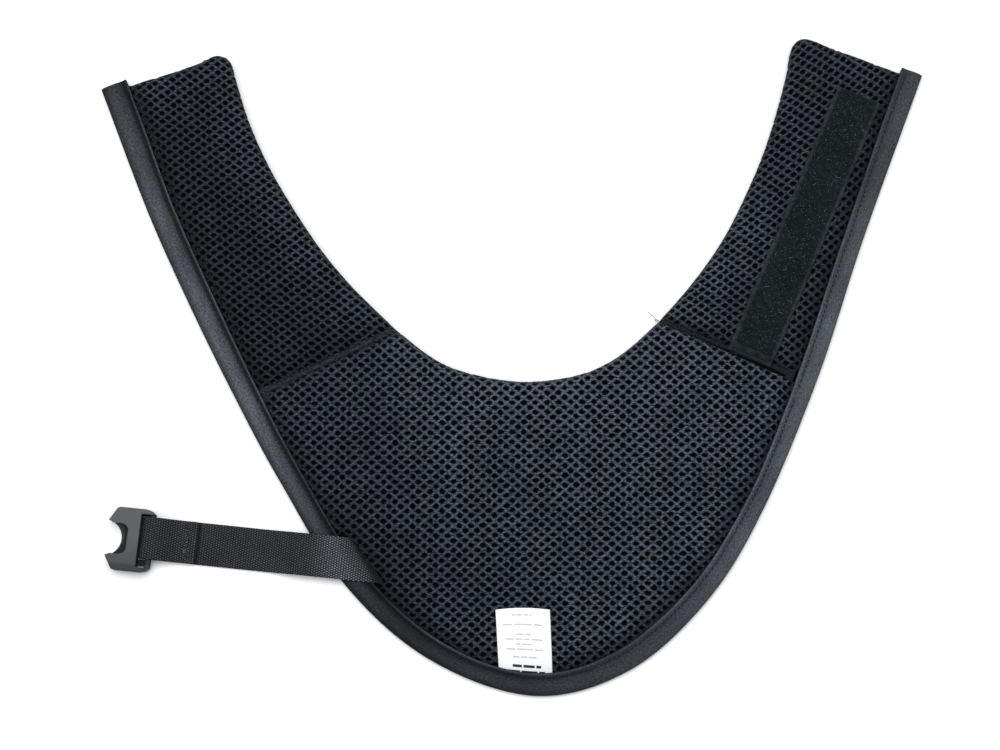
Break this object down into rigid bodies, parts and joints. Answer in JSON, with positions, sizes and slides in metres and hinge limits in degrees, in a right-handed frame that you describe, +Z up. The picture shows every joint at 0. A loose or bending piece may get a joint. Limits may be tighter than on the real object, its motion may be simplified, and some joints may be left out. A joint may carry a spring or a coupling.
{
  "type": "radiation protection neck and chest collar",
  "caption": "U-shaped padded X-ray shielding collar with a mesh lining, folding arms, taped edge, hook strip, care label and a webbing strap ending in a buckle socket.",
  "frame": {"origin": "bottom centre of the whole collar's box, on the table it lies on", "axes": "+Z up out of the lining side, +X towards the arm with the hook strip, +Y from the bib towards the arm ends"},
  "size_m": [0.5096, 0.4044, 0.0103],
  "materials": {
    "coated_nylon": "matte coated nylon cloth",
    "lead_vinyl": "matte lead-loaded vinyl sheet",
    "spacer_mesh": "black knitted spacer mesh with staggered oval holes",
    "binding_tape": "fine woven nylon edge tape",
    "thread": "bonded nylon thread",
    "hook_tape": "black nylon hook fastener tape",
    "loop_tape": "black nylon loop fastener pile",
    "webbing": "ribbed nylon webbing",
    "buckle_plastic": "moulded grey nylon, fine matte grain",
    "label_satin": "white printed satin"
  },
  "bodies": {
    "bib": {"shell_bib": "coated_nylon", "core_outer_ply_bib": "lead_vinyl", "core_inner_ply_bib": "lead_vinyl", "lining_bib": "spacer_mesh", "binding_bib": "binding_tape", "binding_thread_bib": "thread", "left_fold_thread": "thread", "right_fold_thread": "thread", "strap_anchor": "webbing"},
    "left_arm": {"shell_left_arm": "coated_nylon", "core_outer_ply_left_arm": "lead_vinyl", "core_inner_ply_left_arm": "lead_vinyl", "lining_left_arm": "spacer_mesh", "binding_left_arm": "binding_tape", "binding_thread_left_arm": "thread", "loop_patch": "loop_tape"},
    "right_arm": {"shell_right_arm": "coated_nylon", "core_outer_ply_right_arm": "lead_vinyl", "core_inner_ply_right_arm": "lead_vinyl", "lining_right_arm": "spacer_mesh", "binding_right_arm": "binding_tape", "binding_thread_right_arm": "thread", "hook_strip": "hook_tape", "hook_strip_thread": "thread"},
    "strap": {"strap_webbing": "webbing", "strap_bartack": "thread"},
    "buckle": {"buckle_socket": "buckle_plastic"},
    "label": {"care_label": "label_satin"}
  },
  "joints": [
    {"name": "left_arm_fold", "type": "hinge", "parent": "bib", "child": "left_arm", "pos_m": [-0.1095, -0.00069, 0.0023], "axis": [0.9027, 0.4303, 0], "range_deg": [-60, 80]},
    {"name": "right_arm_fold", "type": "hinge", "parent": "bib", "child": "right_arm", "pos_m": [0.13005, 0.00731, 0.0023], "axis": [0.9234, -0.3838, 0], "range_deg": [-60, 80]},
    {"name": "strap_flip", "type": "hinge", "parent": "bib", "child": "strap", "pos_m": [-0.0894, -0.12184, 0.0059], "axis": [-0.5878, 0.809, 0], "range_deg": [0, 100]},
    {"name": "buckle_pivot", "type": "hinge", "parent": "strap", "child": "buckle", "pos_m": [-0.2175, -0.10854, 0.0045], "axis": [0.1028, 0.9947, 0], "range_deg": [-60, 60]},
    {"name": "label_flap", "type": "hinge", "parent": "bib", "child": "label", "pos_m": [0.008, -0.18784, 0.005], "axis": [0.9985, -0.0541, 0], "range_deg": [0, 110]}
  ]
}
